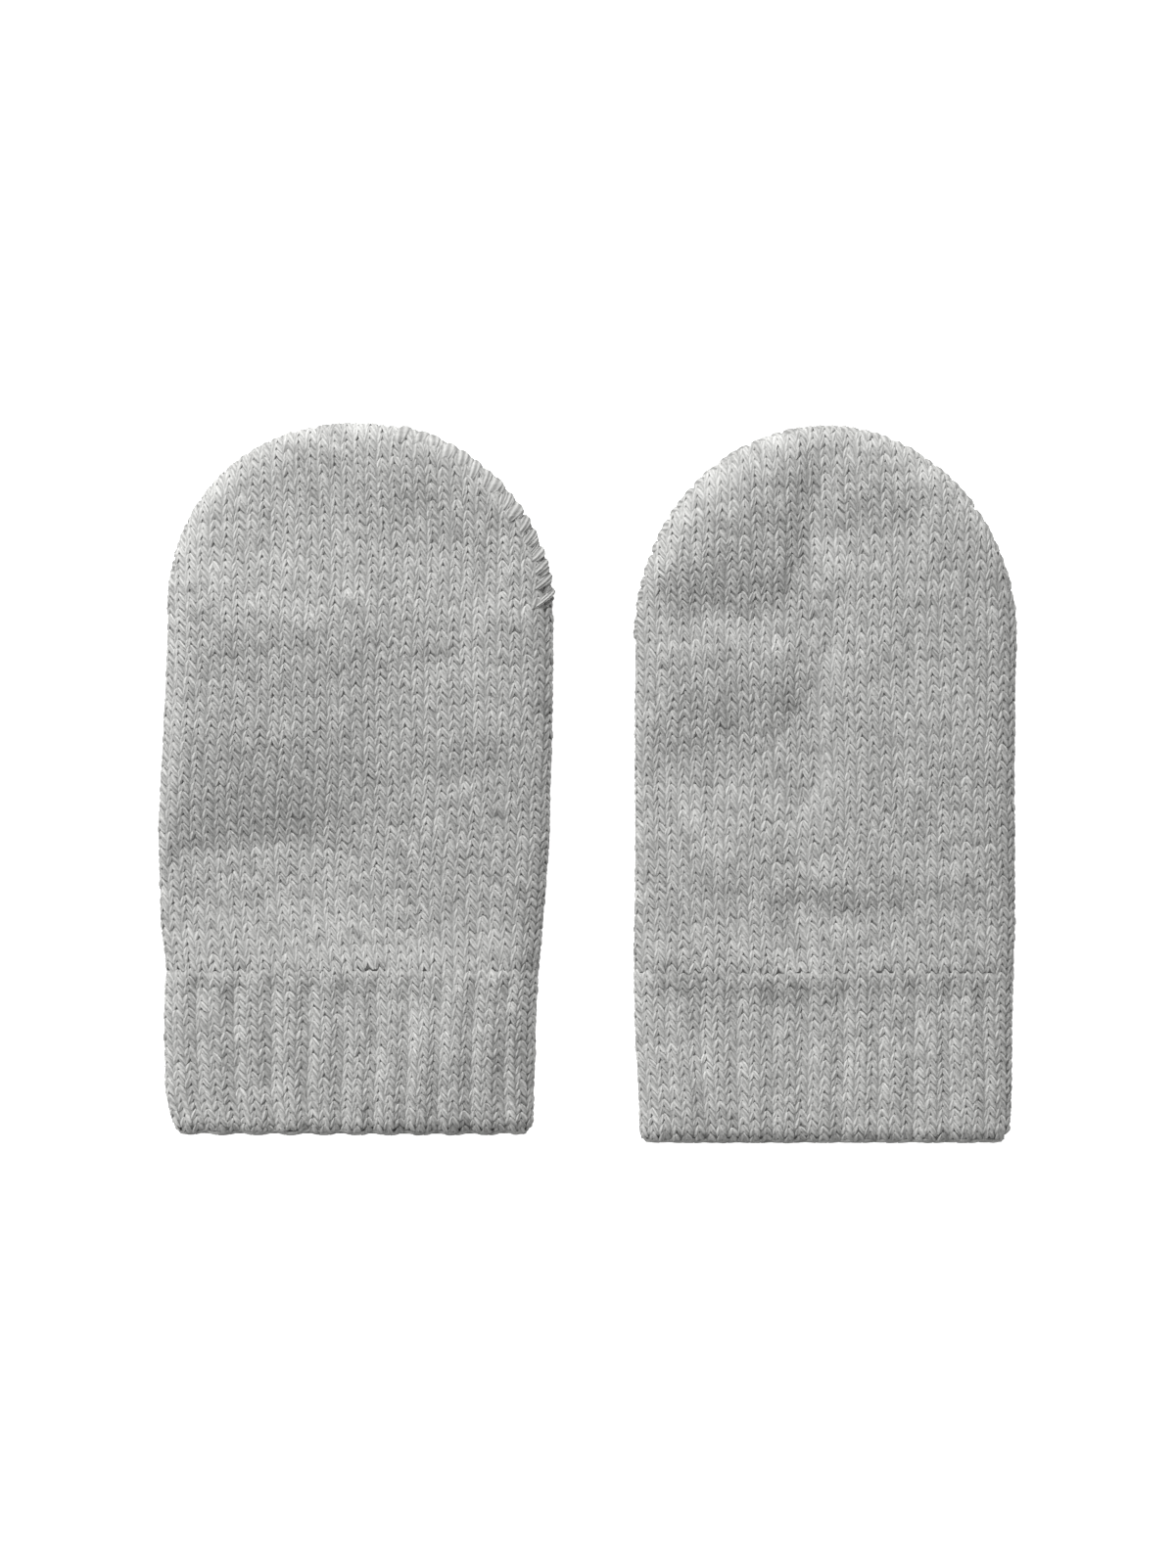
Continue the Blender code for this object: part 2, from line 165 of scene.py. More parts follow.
RIGHT = Mitten(
    name="right", hem_y=-0.0609, cuff_top_y=-0.0320, tip_start_y=0.0245, tip_y=0.0609,
    tip_lean=0.0, squareness=2.00, left_corner=2.2 * MM, right_corner=2.4 * MM,
    join_depth=0.1 * MM, rib_depth=0.38 * MM, hem_wave=0.12 * MM,
    hand_rows=65, row_growth=0.08,
    sections=(
        Section(-0.0609, 0.0087, 0.0718),
        Section(-0.0508, 0.0084, 0.0721),
        Section(-0.0408, 0.0079, 0.0723),
        Section(-0.0258, 0.0077, 0.0727),
        Section(-0.0058, 0.0080, 0.0728),
        Section(0.0168, 0.0079, 0.0728),
        Section(0.0245, 0.0080, 0.0730),
    ),
    folds=(
        Fold(0.0215, 0.0425, 46.0, 0.032, 0.0070, 0.0007),
        Fold(0.0200, 0.0290, -6.0, 0.028, 0.0050, -0.0010),
        Fold(0.0240, 0.0035, 10.0, 0.036, 0.0095, -0.0014),
        Fold(0.0375, 0.0420, 78.0, 0.034, 0.0040, -0.0012),
        Fold(0.0370, 0.0290, 95.0, 0.018, 0.0034, -0.0008),
        Fold(0.0385, 0.0150, 80.0, 0.034, 0.0036, -0.0013),
        Fold(0.0360, -0.0200, 90.0, 0.054, 0.0030, -0.0008),
        Fold(0.0390, -0.0165, -5.0, 0.014, 0.0034, 0.0003),
        Fold(0.0390, -0.0215, -5.0, 0.014, 0.0034, -0.0004),
        Fold(0.0530, -0.0170, 6.0, 0.028, 0.0028, 0.0002),
        Fold(0.0530, -0.0215, 6.0, 0.028, 0.0028, -0.0002),
        Fold(0.0490, 0.0430, -5.0, 0.018, 0.0050, -0.0008),
        Fold(0.0220, -0.0315, -2.0, 0.036, 0.0050, 0.0008),
        Fold(0.0180, -0.0560, 0.0, 0.034, 0.0120, 0.0009),
        Fold(0.0500, -0.0320, 3.0, 0.040, 0.0030, 0.0006),
    ),
    pulls=(
        Pull(0.0140, 0.0480, 0.013, 0.0, -2.6 * MM),
        Pull(0.0680, 0.0450, 0.011, 0.5 * MM, 1.6 * MM),
        Pull(0.0640, -0.0500, 0.016, 0.5 * MM, 0.0),
    ),
    seam_from=-1,
    # The last number of each wrap is its tone, painted shade.
    wraps=(
        Wrap(2.0, 178.0, 2.00 * MM, 1.3 * MM, 2.0 * MM, 20.0, 1.15 * MM, -0.18 * MM, -1.5),
    ),
    seed=23,
)
MITTENS = (LEFT, RIGHT)

# Tone of a part's yarn, and how near to the outline the middle of a stitch may come
PART_LOOKS = {"hand": (0.0, 0.35 * MM), "cuff": (0.85, 0.05 * MM)}


# ---------------------------------------------------------------- settings

class KnitSettings(bpy.types.PropertyGroup):
    """Sizes of the stitches."""
    wales: bpy.props.IntProperty(
        name="Wales", description="Columns of stitches across one face",
        default=33, min=8)
    cuff_rows: bpy.props.IntProperty(
        name="Cuff rows", description="Rows of stitches up the cuff", default=21, min=4)
    yarn_radius: bpy.props.FloatProperty(
        name="Yarn radius", description="Radius of the yarn in a stitch",
        default=0.45 * MM, unit="LENGTH", precision=5)
    yarn_inset: bpy.props.FloatProperty(
        name="Yarn inset", description="How far inside the outline the yarn's middle lies",
        default=0.08 * MM, unit="LENGTH", precision=5)
    yarn_flatness: bpy.props.FloatProperty(
        name="Yarn flatness", description="Height of the yarn in a stitch as a share of its width",
        default=0.5, min=0.2, max=1.0)
    leg_half: bpy.props.FloatProperty(
        name="Leg half length", description="Half of a leg's length up the cloth",
        default=1.02 * MM, unit="LENGTH", precision=5)
    leg_lean: bpy.props.FloatProperty(
        name="Leg lean", description="Half of a leg's reach to the side, in stitch widths",
        default=0.225, min=0.0, max=0.4)
    leg_bias: bpy.props.FloatProperty(
        name="Leg bias", description="Share by which right legs lean more than left ones",
        default=0.20, min=-0.5, max=0.5)
    leg_arch: bpy.props.FloatProperty(
        name="Leg arch", description="Depth to which both ends of a leg dip",
        default=0.20 * MM, unit="LENGTH", precision=5)
    leg_tuck: bpy.props.FloatProperty(
        name="Leg tuck", description="How much deeper a leg's lower end lies than its middle",
        default=0.15 * MM, unit="LENGTH", precision=5)
    softness: bpy.props.FloatProperty(
        name="Softness", description="How far the fuzz evens out the shading of the yarn",
        default=0.67, min=0.0, max=1.0)
    fuzz: bpy.props.FloatProperty(
        name="Fuzz", description="How far the fuzz evens out the light on steep sides",
        default=1.3, min=0.0)
    unevenness: bpy.props.FloatProperty(
        name="Unevenness", description="How much the stitches differ from each other",
        default=0.9, min=0.0, max=3.0)


class YarnSettings(bpy.types.PropertyGroup):
    """Colours and surface of the yarn."""
    light: bpy.props.FloatVectorProperty(
        name="Light fibre", description="Colour of the light fibres",
        subtype="COLOR", size=3, default=(0.50, 0.50, 0.489), min=0.0, max=1.0)
    dark: bpy.props.FloatVectorProperty(
        name="Dark fibre", description="Colour of the dark fibres",
        subtype="COLOR", size=3, default=(0.18, 0.18, 0.176), min=0.0, max=1.0)
    # The cloth under the stitches is the same yarn; its darker colour is painted shade deep between the
    # stitches.
    gap_shade: bpy.props.FloatVectorProperty(
        name="Painted gap shade", description="Colour of the cloth deep between the stitches",
        subtype="COLOR", size=3, default=(0.24, 0.24, 0.235), min=0.0, max=1.0)
    sheen: bpy.props.FloatProperty(
        name="Sheen", description="Soft light that the fibre ends catch",
        default=0.35, min=0.0, max=1.0)


class StageSettings(bpy.types.PropertyGroup):
    """Floor, light and camera."""
    floor: bpy.props.FloatVectorProperty(
        name="Floor", description="Colour of the floor",
        subtype="COLOR", size=3, default=(0.95, 0.95, 0.95), min=0.0, max=1.0)
    floor_glow: bpy.props.FloatProperty(
        name="Floor glow", description="Light of the floor itself, which evens out its shadows",
        default=0.85, min=0.0)
    key_power: bpy.props.FloatProperty(
        name="Key light", description="Power of the large soft light", default=54.5, unit="POWER")
    key_elevation: bpy.props.FloatProperty(
        name="Key elevation", description="Angle of the large soft light over the floor",
        default=math.radians(29.5), unit="ROTATION")
    key_side: bpy.props.FloatProperty(
        name="Key side", description="Angle of the large soft light from +Y towards -X",
        default=math.radians(20.0), unit="ROTATION")
    sky: bpy.props.FloatProperty(
        name="Sky", description="Strength of the even light from all sides", default=0.42)
    field_height: bpy.props.FloatProperty(
        name="Field height", description="Height of the picture in the plane of the mittens",
        default=0.267, unit="LENGTH")
    lens: bpy.props.FloatProperty(
        name="Lens", description="Focal length of the camera", default=100.0, unit="CAMERA")


# ---------------------------------------------------------------- the flat pattern

def smooth(value):
    """Eases from 0 at 0 to 1 at 1, and stays there on either side."""
    t = np.clip(value, 0.0, 1.0)
    return t * t * (3.0 - 2.0 * t)


def bell(value):
    """Bell curve: 1 at 0, falling to nothing at about 2 on either side."""
    return np.exp(-value * value)


def quarter_turn(plan, rise, steps=64):
    """Angles of a quarter ellipse and the length of its arc up to each of them."""
    angle = np.linspace(0.0, 0.5 * math.pi, steps)
    length = np.cumsum(np.hypot(np.diff(plan * (1.0 - np.cos(angle))),
                                np.diff(rise * np.sin(angle))))
    return angle, np.concatenate([[0.0], length])


class Rounding:
    """How the middle of the yarn turns over at the outline, from front to back.

    It follows a quarter ellipse on each face. The flat pattern is wider than the
    mitten by what the turning takes up, which is `spread` on each side.
    """

    def __init__(self, knit):
        self.inset = knit.yarn_inset
        self.plan = EDGE_REACH - self.inset
        self.rise = PARTING - knit.yarn_radius
        self.angles, self.lengths = quarter_turn(self.plan, self.rise)
        self.spread = self.lengths[-1] - EDGE_REACH

    def bend(self, distance):
        """Turn from the outline and distance in from it, at a distance on the flat pattern."""
        turn = np.interp(np.abs(distance), self.lengths, self.angles) * np.sign(distance)
        beyond = np.maximum(distance - self.lengths[-1], 0.0)
        return turn, self.inset + self.plan * (1.0 - np.cos(turn)) + beyond


def edges_at(mitten, y):
    """Left and right edge of the mitten at each height y, with its round hem corners."""
    heights = [section.y for section in mitten.sections]
    left = np.interp(y, heights, [section.left for section in mitten.sections])
    right = np.interp(y, heights, [section.right for section in mitten.sections])
    over_hem = y - mitten.hem_y
    return (left + corner_cut(over_hem, mitten.left_corner),
            right - corner_cut(over_hem, mitten.right_corner))


def corner_cut(height, radius):
    """How far a round hem corner comes in from the side, at a height over the hem."""
    drop = np.clip(radius - height, 0.0, radius)
    return radius - np.sqrt(radius ** 2 - drop ** 2)


def lean_at(mitten, y):
    """How far to the right the round tip leans at a height y."""
    return mitten.tip_lean * smooth((y - mitten.tip_start_y)
                                    / (mitten.tip_y - mitten.tip_start_y))


def tip_shape(mitten, spread):
    """Middle, half-width and length of the round tip, grown by spread."""
    left, right = edges_at(mitten, mitten.tip_start_y)
    return (0.5 * (left + right), 0.5 * (right - left) + spread,
            mitten.tip_y - mitten.tip_start_y + spread)


def flat_distance(mitten, x, y, spread):
    """Distance in from the flat pattern's outline, and the way straight out of it.

    Below the tip the way out is to the nearer side. In the tip it is the gradient of the
    superellipse |p|^n + |q|^n, and the distance is what is left of its radius.
    """
    left, right = edges_at(mitten, y)
    to_left = x - left + spread
    to_right = right + spread - x
    out_x = np.where(to_left < to_right, -1.0, 1.0)
    distance = np.minimum(to_left, to_right)
    middle, half_width, length = tip_shape(mitten, spread)
    p = (x - middle - lean_at(mitten, y)) / half_width
    q = np.maximum(y - mitten.tip_start_y, 0.0) / length
    power = mitten.squareness
    radius = (np.abs(p) ** power + q ** power) ** (1.0 / power)
    grad_x = np.sign(p) * np.abs(p) ** (power - 1.0) / half_width
    grad_y = q ** (power - 1.0) / length
    size = np.maximum(np.hypot(grad_x, grad_y), 1e-9)
    in_tip = y > mitten.tip_start_y
    distance = np.where(in_tip, (1.0 - radius) * half_width, distance)
    out_x = np.where(in_tip, grad_x / size, out_x)
    out_y = np.where(in_tip, grad_y / size, 0.0)
    return distance, out_x, out_y


def pull_stitches(mitten, x, y):
    """Shifts the flat pattern where the cloth is pulled: a bell curve round each pull,
    and a slow ripple all over, so that no row or column runs quite straight."""
    shift_x = RIPPLE * np.sin(y / 0.0062 + 1.7 * np.sin(x / 0.011 + mitten.seed))
    shift_y = RIPPLE * np.sin(x / 0.0071 + 1.3 * np.sin(y / 0.013 + mitten.seed))
    for pull in mitten.pulls:
        weight = bell(np.hypot(x - pull.x, y - pull.y) / pull.reach)
        shift_x = shift_x + pull.right * weight
        shift_y = shift_y + pull.up * weight
    inside = smooth((y - mitten.hem_y) / HEM_ZONE)
    return x + shift_x, y + shift_y * inside


# ---------------------------------------------------------------- the laid mitten

def fold_height(mitten, x, y):
    """Sum of the folds: a bell curve across each one, fading out at both its ends."""
    height = np.zeros_like(x)
    for fold in mitten.folds:
        turn = math.radians(fold.turn)
        along = (x - fold.x) * math.cos(turn) + (y - fold.y) * math.sin(turn)
        across = (y - fold.y) * math.cos(turn) - (x - fold.x) * math.sin(turn)
        fade = np.exp(-(along / (0.5 * fold.length)) ** 4)
        height = height + fold.height * fade * bell(across / fold.width)
    return height


def layer_room(mitten, x, y, inset):
    """Room between the layers: the soft hollow with its folds, closed at the outline."""
    share = smooth((y - mitten.hem_y) / (mitten.tip_start_y - mitten.hem_y))
    hollow = CUFF_HOLLOW + (HOLLOW - CUFF_HOLLOW) * share
    swell = 1.0 - (1.0 - np.clip(inset / HOLLOW_REACH, 0.0, 1.0)) ** 3
    room = hollow * swell + fold_height(mitten, x, y) * smooth(inset / FOLD_REACH)
    return np.maximum(room, 0.0)


def groove(mitten, spread, x, y):
    """How deep a point of the flat cuff lies between two ribs, from 0 to 1.

    It is a power of a cosine over the ribs, which follow the pulled stitches and fade
    out at the cuff's top.
    """
    left, right = edges_at(mitten, np.maximum(y, mitten.hem_y + mitten.left_corner))
    pulled_x, _ = pull_stitches(mitten, x, y)
    share = (2.0 * x - pulled_x - left + spread) / (right - left + 2.0 * spread)
    return np.cos(math.pi * RIBS * share) ** 4 * smooth((mitten.cuff_top_y - y) / RIB_FADE)


def hem_share(mitten, y):
    """Share of the height that is left near the hem: a quarter ellipse down to the rim."""
    t = np.clip((y - mitten.hem_y) / HEM_REACH, 0.0, 1.0)
    return HEM_RIM + (1.0 - HEM_RIM) * np.sqrt(1.0 - (1.0 - t) ** 2)


def lay(mitten, face, rounding, x, y):
    """Points of the laid mitten for points of the flat pattern, in the yarn's middle."""
    distance, out_x, out_y = flat_distance(mitten, x, y, rounding.spread)
    turn, inset = rounding.bend(distance)
    shift = distance - rounding.spread - inset
    laid_x = x + out_x * shift
    laid_y = y + out_y * shift
    rise = face * rounding.rise * np.sin(turn)
    if face == FRONT:
        room = layer_room(mitten, laid_x, laid_y, inset)
        trough = mitten.join_depth * bell((y - mitten.cuff_top_y) / JOIN_WIDTH)
        sunk = groove(mitten, rounding.spread, x, y)
        rise = rise + room - (trough + mitten.rib_depth * sunk) * smooth(inset / EDGE_REACH)
        near_hem = 1.0 - smooth((y - mitten.hem_y) / HEM_ZONE)
        laid_y = laid_y - mitten.hem_wave * (0.5 - sunk) * near_hem
    return np.stack([laid_x, laid_y, PARTING + rise * hem_share(mitten, y)], -1)


def lay_lifted(mitten, face, rounding, x, y, lift):
    """Points lifted off the laid mitten along its normal, which is the cross product of
    its slopes to the right and up. Nothing goes below the surface it rests on."""
    step = 0.05 * MM
    right = lay(mitten, face, rounding, x + step, y) - lay(mitten, face, rounding, x - step, y)
    up = lay(mitten, face, rounding, x, y + step) - lay(mitten, face, rounding, x, y - step)
    normal = face * np.cross(right, up)
    normal = normal / np.maximum(np.linalg.norm(normal, axis=-1, keepdims=True), 1e-15)
    points = lay(mitten, face, rounding, x, y) + normal * lift[..., None]
    points[..., 2] = np.maximum(points[..., 2], 0.02 * MM)
    return points, normal


# ---------------------------------------------------------------- meshes from arrays

def mesh_piece(name, points, corners, counts, material, maps=(), tones=None):
    """Mesh object from flat arrays: points, the corners of all faces, and corners a face."""
    mesh = bpy.data.meshes.new(name)
    mesh.vertices.add(len(points))
    mesh.vertices.foreach_set("co", points.astype(np.float32).ravel())
    mesh.loops.add(len(corners))
    mesh.loops.foreach_set("vertex_index", corners.astype(np.int32))
    mesh.polygons.add(len(counts))
    starts = np.concatenate([[0], np.cumsum(counts)[:-1]])
    mesh.polygons.foreach_set("loop_start", starts.astype(np.int32))
    mesh.polygons.foreach_set("loop_total", counts.astype(np.int32))
    mesh.polygons.foreach_set("use_smooth", np.ones(len(counts), bool))
    for title, uv in maps:
        layer = mesh.uv_layers.new(name=title)
        layer.data.foreach_set("uv", uv.astype(np.float32).ravel())
    if tones is not None:
        attribute = mesh.attributes.new("tone", "FLOAT", "POINT")
        attribute.data.foreach_set("value", tones.astype(np.float32))
    mesh.update(calc_edges=True)
    mesh.validate()
    mesh.materials.append(material)
    piece = bpy.data.objects.new(name, mesh)
    bpy.context.scene.collection.objects.link(piece)
    return piece


def soften(piece, normals, softness, fuzz):
    """Turns the shading of fuzzy yarn part of the way towards the cloth it lies on.

    Each normal is the mean of the yarn's own and the cloth's, weighted by softness. The
    fuzz then takes light on steep sides too: it adds to the normal's height, on the
    cloth's own side, by what the height lacks to 1.
    """
    own = np.empty(len(piece.data.vertices) * 3)
    piece.data.vertices.foreach_get("normal", own)
    cloth = normals.reshape(-1, 3)
    mixed = own.reshape(-1, 3) * (1.0 - softness) + cloth * softness
    mixed = mixed / np.maximum(np.linalg.norm(mixed, axis=1, keepdims=True), 1e-9)
    side = np.where(cloth[:, 2] < 0.0, -1.0, 1.0)
    mixed[:, 2] += fuzz * side * (1.0 - np.abs(mixed[:, 2]))
    mixed = mixed / np.maximum(np.linalg.norm(mixed, axis=1, keepdims=True), 1e-9)
    piece.data.normals_split_custom_set_from_vertices(mixed)


class Strand:
    """Faces and maps of one closed piece of yarn, shared by every copy of it.

    Its points are a pole, rings of `sides` points, and a pole. `along` and `around` give
    each corner's place on the yarn, from 0 to 1.
    """

    def __init__(self, rings, sides):
        self.rings, self.sides = rings, sides
        self.size = rings * sides + 2
        ring = np.arange(rings - 1)[:, None]
        side = np.arange(sides)[None, :]
        following = (side + 1) % sides
        first = 1 + ring * sides
        quads = np.stack([first + side, first + following, first + sides + following,
                          first + sides + side], -1).reshape(-1)
        row = np.arange(sides)
        after = (row + 1) % sides
        last = self.size - 1
        start = np.stack([np.zeros(sides, int), 1 + after, 1 + row], -1).reshape(-1)
        end_ring = 1 + (rings - 1) * sides
        end = np.stack([np.full(sides, last), end_ring + row, end_ring + after], -1).reshape(-1)
        self.corners = np.concatenate([quads, start, end])
        self.counts = np.concatenate([np.full((rings - 1) * sides, 4), np.full(2 * sides, 3)])
        along = (np.arange(rings) + 1.0) / (rings + 1.0)
        low = np.broadcast_to(along[:-1, None], (rings - 1, sides))
        high = np.broadcast_to(along[1:, None], (rings - 1, sides))
        here = np.broadcast_to(side / sides, (rings - 1, sides))
        there = here + 1.0 / sides
        quad_along = np.stack([low, low, high, high], -1).reshape(-1)
        quad_around = np.stack([here, there, there, here], -1).reshape(-1)
        middle = (row + 0.5) / sides
        start_along = np.stack([np.zeros(sides), np.full(sides, along[0]),
                                np.full(sides, along[0])], -1).reshape(-1)
        start_around = np.stack([middle, (row + 1.0) / sides, row / sides], -1).reshape(-1)
        end_along = np.stack([np.ones(sides), np.full(sides, along[-1]),
                              np.full(sides, along[-1])], -1).reshape(-1)
        end_around = np.stack([middle, row / sides, (row + 1.0) / sides], -1).reshape(-1)
        self.along = np.concatenate([quad_along, start_along, end_along])
        self.around = np.concatenate([quad_around, start_around, end_around])

    def stations(self):
        """Places of the rings between the poles at -1 and 1, closer together towards them."""
        return np.sin(0.5 * math.pi * np.linspace(-1.0, 1.0, self.rings + 2)[1:-1])

    def angles(self):
        """Angles of the points round the yarn, starting at its top."""
        return 0.5 * math.pi + 2.0 * math.pi * np.arange(self.sides) / self.sides

    def piece(self, name, points, lengths, tones, material):
        """Joins all copies in one mesh. points has a row of places for each copy."""
        copies = len(points)
        corners = (self.corners[None, :] + self.size * np.arange(copies)[:, None]).reshape(-1)
        counts = np.tile(self.counts, copies)
        number = np.arange(copies)[:, None]
        yarn = np.stack([(self.along[None, :] * lengths[:, None] + 0.0029 * number) / MM,
                         np.broadcast_to(self.around[None, :], (copies, len(self.around)))], -1)
        cells = math.ceil(math.sqrt(copies))
        margin = 0.1
        inner = 1.0 - 2.0 * margin
        bake = np.stack([(number % cells + margin + inner * self.along[None, :]) / cells,
                         (number // cells + margin + inner * self.around[None, :]) / cells], -1)
        maps = (("Yarn", yarn.reshape(-1, 2)), ("OFBake", bake.reshape(-1, 2)))
        return mesh_piece(name, points.reshape(-1, 3), corners, counts, material, maps,
                          np.repeat(tones, self.size))


# ---------------------------------------------------------------- stitches

def wale_grid(knit, mitten, rounding, rows):
    """Middle of each wale at each row, and its width.

    The wales divide the flat width evenly, from the hem up through the round tip.
    """
    low = mitten.hem_y + mitten.left_corner
    left, right = edges_at(mitten, np.clip(rows, low, mitten.tip_start_y))
    left = left - rounding.spread
    right = right + rounding.spread
    share = (np.arange(knit.wales) + 0.5) / knit.wales
    x = left[:, None] + (right - left)[:, None] * share[None, :]
    return x, np.broadcast_to(((right - left) / knit.wales)[:, None], x.shape)


def hand_rows(mitten, rounding):
    """Heights of the hand's rows on the flat pattern; they grow slowly towards the tip."""
    count = mitten.hand_rows
    t = (np.arange(count) + 0.5) / count
    t = t + mitten.row_growth * (t * t - t)
    return mitten.cuff_top_y + (mitten.tip_y + rounding.spread - mitten.cuff_top_y) * t


def cuff_rows(knit, mitten):
    """Heights of the cuff's rows."""
    t = (np.arange(knit.cuff_rows) + 0.5) / knit.cuff_rows
    return mitten.hem_y + (mitten.cuff_top_y - mitten.hem_y) * t


def drift(random, steps, lines, every):
    """Values that change slowly along a line and start anew in the next one: random
    numbers of spread 1, one every so many steps, with eased values between them."""
    knots = random.normal(size=(lines, steps // every + 3))
    place = np.arange(steps) / every
    low = place.astype(int)
    part = smooth(place - low)
    return knots[:, low] * (1.0 - part) + knots[:, low + 1] * part


def run_tones(random, rows, wales):
    """Tone of the melange yarn at each stitch: it drifts along each row, with a little
    noise of its own at each stitch."""
    return 0.6 * drift(random, wales, rows, 2) + 0.5 * random.normal(size=(rows, wales))


def leg_points(knit, strand, random, x, y, width, height, side, face):
    """Places of the legs on one side of the stitches: flat x and y, and lift.

    The cloth is knitted from the tip down, so the two legs of a stitch part downwards from
    its foot. A leg's middle line dips by the square of the distance from its middle, and
    its lower end more, because the next stitch comes out over it. Round it lie ellipses,
    smaller towards both ends. The twist of the yarn makes the left legs steeper.
    """
    count = len(x)
    uneven = knit.unevenness

    def stray(amount):
        return uneven * amount * random.normal(size=(count, 1, 1))

    def share(offset, spread):
        return (1.0 + offset * side) * (1.0 + stray(spread))

    half = knit.leg_half * share(LONGER, LENGTH_SPREAD) * height[:, None, None]
    lean = knit.leg_lean * share(knit.leg_bias, LEAN_SPREAD) * width[:, None, None]
    radius = knit.yarn_radius * share(THICKER, RADIUS_SPREAD)
    middle_x = (x + side * LEG_PLACE * width)[:, None, None] + stray(STRAY_RIGHT)
    middle_y = (y + HIGHER * side)[:, None, None] + stray(STRAY_UP)
    base = FURTHER_OUT * side + stray(STRAY_OUT)

    def line(s):
        return (middle_x - side * lean * s, middle_y + half * s,
                base - knit.leg_arch * s * s + knit.leg_tuck * s)

    s = strand.stations()[None, :, None]
    angle = strand.angles()[None, None, :]
    line_x, line_y, line_lift = line(s)
    size = np.hypot(lean, half)
    thick = radius * np.sqrt(1.0 - s * s)
    across = -face * thick * np.cos(angle)
    ring_x = line_x + across * half / size
    ring_y = line_y + across * side * lean / size
    ring_lift = line_lift + knit.yarn_flatness * thick * np.sin(angle)
    ends = [line(np.full((1, 1, 1), end)) for end in (-1.0, 1.0)]

    def joined(ring, axis):
        return np.concatenate([ends[0][axis].reshape(count, 1), ring.reshape(count, -1),
                               ends[1][axis].reshape(count, 1)], 1)

    return joined(ring_x, 0), joined(ring_y, 1), joined(ring_lift, 2)


def draw(mitten, number):
    """Random numbers of their own for one piece of a mitten."""
    return np.random.default_rng(mitten.seed * 10 + number)


def stitch_legs(knit, mitten, face, part, strand, rounding):
    """All legs of one face of a hand or cuff: laid points, cloth normals and tones."""
    random = draw(mitten, (3 if face == FRONT else 5) + (0 if part == "hand" else 1))
    rows = hand_rows(mitten, rounding) if part == "hand" else cuff_rows(knit, mitten)
    x, width = wale_grid(knit, mitten, rounding, rows)
    column_waver = knit.unevenness * COLUMN_WAVER
    row_waver = knit.unevenness * ROW_WAVER
    x = x + column_waver * drift(random, len(rows), x.shape[1], 7).T
    y = rows[:, None] + row_waver * drift(random, len(rows), x.shape[1], 9).T
    height = np.broadcast_to((np.gradient(rows) / ROW_HEIGHT)[:, None], x.shape)
    own_shade, margin = PART_LOOKS[part]
    tone = run_tones(random, *x.shape) + own_shade
    distance, _, _ = flat_distance(mitten, *pull_stitches(mitten, x, y), rounding.spread)
    kept = distance > margin
    legs = []
    for side in (-1, 1):
        flat_x, flat_y, lift = leg_points(knit, strand, random, x[kept], y[kept], width[kept],
                                          height[kept], side, face)
        flat_x, flat_y = pull_stitches(mitten, flat_x, flat_y)
        flat_y = np.maximum(flat_y, mitten.hem_y + 0.15 * MM)
        own_tone = tone[kept] + 0.5 * random.normal(size=int(kept.sum()))
        legs.append((*lay_lifted(mitten, face, rounding, flat_x, flat_y, lift), own_tone))
    return joined_arrays(legs)


def tube_points(strand, line, sideways, upward, radius):
    """Points of closed yarn along middle lines: rings set across each line.

    line has a row of places for each strand, poles included, as flat x, y and lift;
    sideways is the flat direction across it.
    """
    angle = strand.angles()[None, None, :, None]
    ring = (line[:, 1:-1, None, :] + radius[:, 1:-1, None, None]
            * (np.cos(angle) * sideways[:, None, None, :] + np.sin(angle) * upward))
    ring = ring.reshape(len(line), -1, 3)
    return np.concatenate([line[:, :1], ring, line[:, -1:]], 1)


def hem_chain(knit, mitten, face, strand, rounding):
    """Cast-on edge: yarn links lying along the hem, one for each wale."""
    random = draw(mitten, 7 if face == FRONT else 8)
    y = np.array([mitten.hem_y + HEM_YARN_Y])
    x, width = wale_grid(knit, mitten, rounding, y)
    x, width = x[0], width[0]
    left, right = edges_at(mitten, y)
    middle = 0.5 * (x[0] + x[-1])
    squeeze = (right[0] - left[0] + 2.0 * rounding.spread - 0.2 * MM) / (x[-1] - x[0])
    x = middle + (x - middle) * min(1.0, squeeze)
    s = np.linspace(-1.0, 1.0, strand.rings + 2)[None, :]
    line = np.stack([
        x[:, None] + 0.8 * width[:, None] * s,
        y[0] + 0.10 * MM * s + 0.03 * MM * random.normal(size=(len(x), 1)),
        -0.20 * MM * s * s - 0.05 * MM * np.ones((len(x), 1)),
    ], -1)
    line[..., 0], _ = pull_stitches(mitten, line[..., 0], line[..., 1])
    radius = 0.9 * knit.yarn_radius * np.sqrt(1.0 - (0.92 * s) ** 2) * np.ones((len(x), 1))
    sideways = np.broadcast_to(np.array([0.0, float(face), 0.0]), (len(x), 3))
    flat = tube_points(strand, line, sideways, np.array([0.0, 0.0, 0.8]), radius)
    laid = lay_lifted(mitten, face, rounding, flat[..., 0], flat[..., 1], flat[..., 2])
    return *laid, 0.6 * random.normal(size=len(x)) - 0.3


